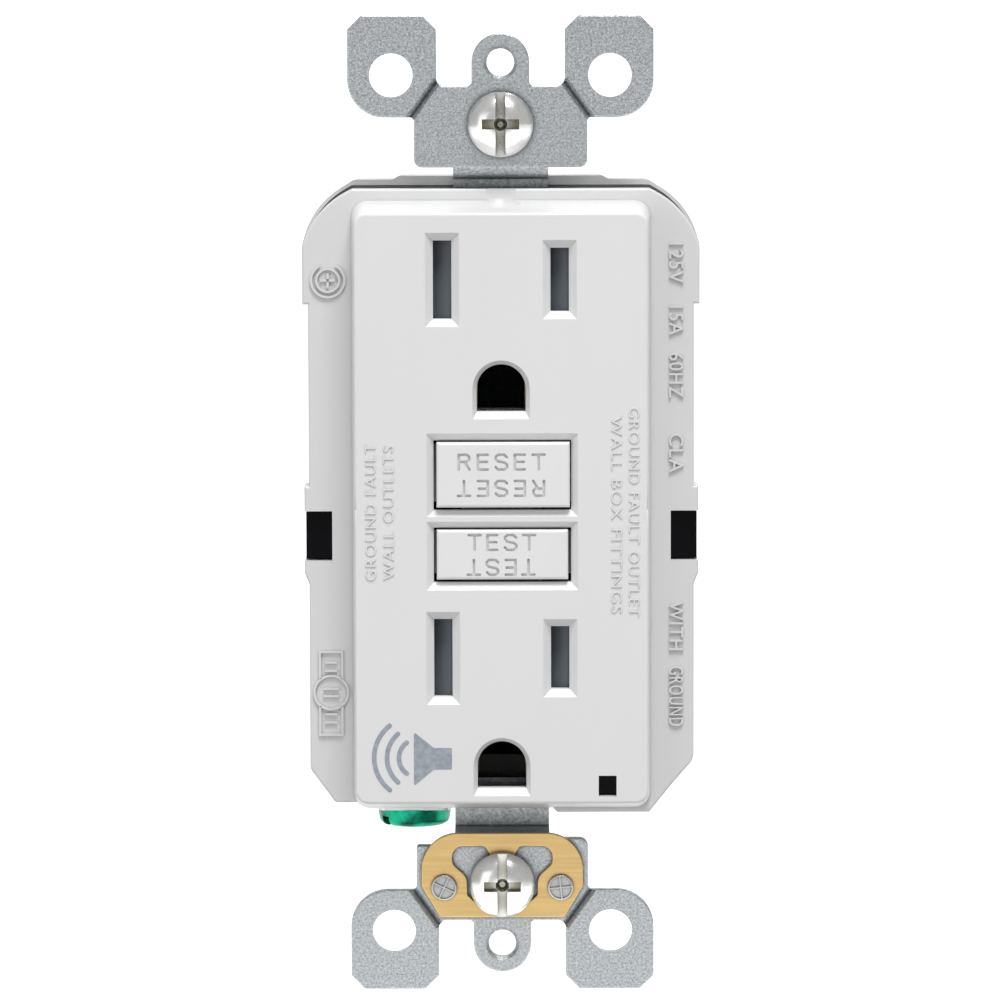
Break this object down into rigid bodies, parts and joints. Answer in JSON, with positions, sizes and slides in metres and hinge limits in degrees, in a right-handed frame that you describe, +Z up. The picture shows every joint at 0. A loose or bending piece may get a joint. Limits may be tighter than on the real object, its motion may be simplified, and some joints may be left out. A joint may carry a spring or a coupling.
{
  "type": "gfci outlet",
  "caption": "Duplex wall outlet with ground-fault protection, test and reset buttons, shuttered blade slots and a steel mounting strap.",
  "frame": {"origin": "back face of the mounting strap's ears, midway between its four ear holes", "axes": "+X right and +Z up on the wall, +Y into the wall box; the face looks along -Y"},
  "size_m": [0.0438, 0.0338, 0.107],
  "materials": {
    "cover_white": "satin",
    "button_white": "satin",
    "tray_white": "satin",
    "shutter_slate": "satin",
    "body_grey": "satin",
    "housing_black": "satin",
    "lifter_plastic": "satin",
    "strap_zinc": "galvanized",
    "rivet_steel": "satin",
    "screw_zinc": "bright",
    "screw_brass": "bright",
    "screw_green": "gloss",
    "clamp_steel": "satin",
    "spring_steel": "satin",
    "contact_brass": "satin",
    "clip_brass": "brushed",
    "board_green": "satin",
    "core_ferrite": "satin",
    "coil_copper": "gloss",
    "can_aluminium": "satin",
    "varistor_blue": "gloss",
    "resistor_tan": "satin",
    "buzzer_black": "satin",
    "lens_smoke": "clear",
    "lamp_lens": "clear",
    "washer_fibre": "matte"
  },
  "bodies": {
    "outlet": {"front_cover": "cover_white", "upper_shutter_tray": "tray_white", "lower_shutter_tray": "tray_white", "mounting_strap": "strap_zinc", "upper_ground_contact": "contact_brass", "lower_ground_contact": "contact_brass", "grounding_clip": "clip_brass", "clip_rivets": "rivet_steel", "hot_bus": "contact_brass", "neutral_bus": "contact_brass", "line_hot_terminal": "contact_brass", "line_neutral_terminal": "contact_brass", "middle_housing": "housing_black", "back_body": "body_grey", "assembly_screws": "screw_zinc", "circuit_board": "board_green", "sense_core": "core_ferrite", "neutral_core": "core_ferrite", "transformer_case": "housing_black", "solenoid_bobbin": "tray_white", "solenoid_coil": "coil_copper", "solenoid_frame": "clamp_steel", "test_contact_post": "contact_brass", "filter_capacitor": "can_aluminium", "surge_varistor": "varistor_blue", "control_chip": "buzzer_black", "board_resistors": "resistor_tan", "alarm_buzzer": "buzzer_black", "light_pipe": "lens_smoke", "indicator_lamp": "lamp_lens", "reset_spring": "spring_steel", "test_spring": "spring_steel", "upper_shutter_spring": "spring_steel", "lower_shutter_spring": "spring_steel"},
    "reset": {"reset_button": "button_white"},
    "test": {"test_button": "button_white"},
    "test_leaf": {"test_contact": "contact_brass"},
    "upper_shutter_plate": {"upper_shutter": "shutter_slate"},
    "lower_shutter_plate": {"lower_shutter": "shutter_slate"},
    "carrier": {"lifter": "lifter_plastic", "latch_spring": "spring_steel"},
    "hot_arm": {"line_hot_arm": "contact_brass"},
    "neutral_arm": {"line_neutral_arm": "contact_brass"},
    "plunger": {"solenoid_plunger": "spring_steel"},
    "latch": {"latch_plate": "clamp_steel"},
    "load_hot_plate": {"load_hot_clamp": "clamp_steel"},
    "load_hot_bolt": {"load_hot_screw": "screw_brass"},
    "line_hot_plate": {"line_hot_clamp": "clamp_steel"},
    "line_hot_bolt": {"line_hot_screw": "screw_brass"},
    "load_neutral_plate": {"load_neutral_clamp": "clamp_steel"},
    "load_neutral_bolt": {"load_neutral_screw": "screw_zinc"},
    "line_neutral_plate": {"line_neutral_clamp": "clamp_steel"},
    "line_neutral_bolt": {"line_neutral_screw": "screw_zinc"},
    "ground_plate": {"ground_clamp": "clamp_steel"},
    "ground_bolt": {"ground_screw": "screw_green"},
    "upper_washer": {"upper_screw_washer": "washer_fibre"},
    "upper_box_bolt": {"upper_mounting_screw": "screw_zinc"},
    "lower_washer": {"lower_screw_washer": "washer_fibre"},
    "lower_box_bolt": {"lower_mounting_screw": "screw_zinc"}
  },
  "joints": [
    {"name": "reset_push", "type": "slide", "parent": "outlet", "child": "reset", "axis": [0, 1, 0], "range_m": [-0.0008, 0.0022], "stiffness_N_per_m": 400, "deforming": ["reset_spring"]},
    {"name": "test_push", "type": "slide", "parent": "outlet", "child": "test", "axis": [0, 1, 0], "range_m": [0, 0.0018], "stiffness_N_per_m": 400, "deforming": ["test_spring"]},
    {"name": "test_leaf_bend", "type": "hinge", "parent": "outlet", "child": "test_leaf", "pos_m": [0, 0.0121, -0.0109], "axis": [1, 0, 0], "range_deg": [-22, 0]},
    {"name": "upper_shutter_slide", "type": "slide", "parent": "outlet", "child": "upper_shutter_plate", "axis": [1, 0, 0], "range_m": [0, 0.0026], "stiffness_N_per_m": 60, "deforming": ["upper_shutter_spring"]},
    {"name": "lower_shutter_slide", "type": "slide", "parent": "outlet", "child": "lower_shutter_plate", "axis": [1, 0, 0], "range_m": [0, 0.0026], "stiffness_N_per_m": 60, "deforming": ["lower_shutter_spring"]},
    {"name": "carrier_slide", "type": "slide", "parent": "outlet", "child": "carrier", "axis": [0, 1, 0], "range_m": [0, 0.0016]},
    {"name": "hot_arm_bend", "type": "hinge", "parent": "outlet", "child": "hot_arm", "pos_m": [0.009, 0.0072, -0.0121], "axis": [1, 0, 0], "range_deg": [-5.5, 0]},
    {"name": "neutral_arm_bend", "type": "hinge", "parent": "outlet", "child": "neutral_arm", "pos_m": [-0.009, 0.0072, -0.0121], "axis": [1, 0, 0], "range_deg": [-5.5, 0]},
    {"name": "plunger_slide", "type": "slide", "parent": "outlet", "child": "plunger", "axis": [-1, 0, 0], "range_m": [0, 0.0012], "stiffness_N_per_m": 150},
    {"name": "latch_slide", "type": "slide", "parent": "carrier", "child": "latch", "axis": [-1, 0, 0], "range_m": [0, 0.0012], "deforming": ["latch_spring"]},
    {"name": "load_hot_travel", "type": "slide", "parent": "outlet", "child": "load_hot_plate", "axis": [1, 0, 0], "range_m": [0, 0.00238]},
    {"name": "load_hot_turn", "type": "hinge", "parent": "load_hot_plate", "child": "load_hot_bolt", "pos_m": [0.018, 0.013, 0.018], "axis": [1, 0, 0], "range_deg": [0, 1080]},
    {"name": "line_hot_travel", "type": "slide", "parent": "outlet", "child": "line_hot_plate", "axis": [1, 0, 0], "range_m": [0, 0.00238]},
    {"name": "line_hot_turn", "type": "hinge", "parent": "line_hot_plate", "child": "line_hot_bolt", "pos_m": [0.018, 0.013, -0.018], "axis": [1, 0, 0], "range_deg": [0, 1080]},
    {"name": "load_neutral_travel", "type": "slide", "parent": "outlet", "child": "load_neutral_plate", "axis": [-1, 0, 0], "range_m": [0, 0.00238]},
    {"name": "load_neutral_turn", "type": "hinge", "parent": "load_neutral_plate", "child": "load_neutral_bolt", "pos_m": [-0.018, 0.013, 0.018], "axis": [-1, 0, 0], "range_deg": [0, 1080]},
    {"name": "line_neutral_travel", "type": "slide", "parent": "outlet", "child": "line_neutral_plate", "axis": [-1, 0, 0], "range_m": [0, 0.00238]},
    {"name": "line_neutral_turn", "type": "hinge", "parent": "line_neutral_plate", "child": "line_neutral_bolt", "pos_m": [-0.018, 0.013, -0.018], "axis": [-1, 0, 0], "range_deg": [0, 1080]},
    {"name": "ground_travel", "type": "slide", "parent": "outlet", "child": "ground_plate", "axis": [0, 0, -1], "range_m": [0, 0.00238]},
    {"name": "ground_turn", "type": "hinge", "parent": "ground_plate", "child": "ground_bolt", "pos_m": [-0.0098, 0.0085, -0.0344], "axis": [0, 0, -1], "range_deg": [0, 1080]},
    {"name": "upper_bolt_slide", "type": "slide", "parent": "outlet", "child": "upper_washer", "axis": [0, -1, 0], "range_m": [0, 0.003]},
    {"name": "upper_bolt_turn", "type": "hinge", "parent": "upper_washer", "child": "upper_box_bolt", "pos_m": [0, 0, 0.04167], "axis": [0, -1, 0], "continuous": true},
    {"name": "lower_bolt_slide", "type": "slide", "parent": "outlet", "child": "lower_washer", "axis": [0, -1, 0], "range_m": [0, 0.003]},
    {"name": "lower_bolt_turn", "type": "hinge", "parent": "lower_washer", "child": "lower_box_bolt", "pos_m": [0, 0, -0.04167], "axis": [0, -1, 0], "continuous": true}
  ],
  "couplings": [
    {"joint": "test_leaf_bend", "follows": "test_push", "rad_per_m": -200.5},
    {"joint": "hot_arm_bend", "follows": "carrier_slide", "rad_per_m": -58.48},
    {"joint": "neutral_arm_bend", "follows": "carrier_slide", "rad_per_m": -58.48},
    {"joint": "latch_slide", "follows": "plunger_slide", "ratio": 1},
    {"joint": "load_hot_turn", "follows": "load_hot_travel", "rad_per_m": 7913.4},
    {"joint": "line_hot_turn", "follows": "line_hot_travel", "rad_per_m": 7913.4},
    {"joint": "load_neutral_turn", "follows": "load_neutral_travel", "rad_per_m": 7913.4},
    {"joint": "line_neutral_turn", "follows": "line_neutral_travel", "rad_per_m": 7913.4},
    {"joint": "ground_turn", "follows": "ground_travel", "rad_per_m": 7913.4}
  ]
}
